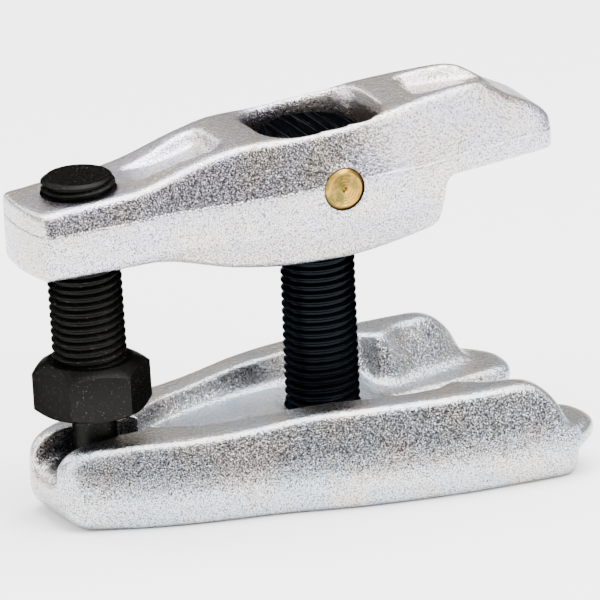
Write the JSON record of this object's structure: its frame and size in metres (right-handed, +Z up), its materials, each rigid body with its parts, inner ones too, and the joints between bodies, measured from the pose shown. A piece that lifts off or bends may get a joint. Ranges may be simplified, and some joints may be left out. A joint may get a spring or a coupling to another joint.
{
  "type": "ball joint separator",
  "caption": "Lever ball joint separator: a forked lower arm and a lipped upper arm, pinned to a threaded centre stud and spread by a hexagon-headed forcing spindle.",
  "frame": {"origin": "middle of the bounding box in X and Y, on the lower arm's flat underside", "axes": "+X towards the jaws along the arms, +Y across the arms, parallel to the pivot pin, +Z up along the centre stud"},
  "size_m": [0.1365, 0.0732, 0.0937],
  "materials": {
    "zinc_forging": "bright zinc plate over a shot-blasted forging",
    "black_oxide": "black oxide, oiled",
    "blued_steel": "blue-black oxide, oiled",
    "yellow_passivate": "yellow passivated zinc, turned"
  },
  "bodies": {
    "lower_arm": {"lower_arm": "zinc_forging"},
    "stud": {"centre_stud": "blued_steel", "pivot_pin": "yellow_passivate"},
    "upper_arm": {"upper_arm": "zinc_forging"},
    "spindle": {"forcing_spindle": "black_oxide"}
  },
  "joints": [
    {"name": "stud_height", "type": "slide", "parent": "lower_arm", "child": "stud", "axis": [0, 0, 1], "range_m": [0, 0.008]},
    {"name": "arm_pivot", "type": "hinge", "parent": "stud", "child": "upper_arm", "pos_m": [0.00966, 0, 0.07615], "axis": [0, 1, 0], "range_deg": [-5.5, 7]},
    {"name": "spindle_advance", "type": "slide", "parent": "upper_arm", "child": "spindle", "axis": [0.0297, 0, -0.9996], "range_m": [-0.0058, 0.0074]}
  ],
  "couplings": [
    {"joint": "spindle_advance", "follows": "arm_pivot", "m_per_rad": 0.06}
  ]
}
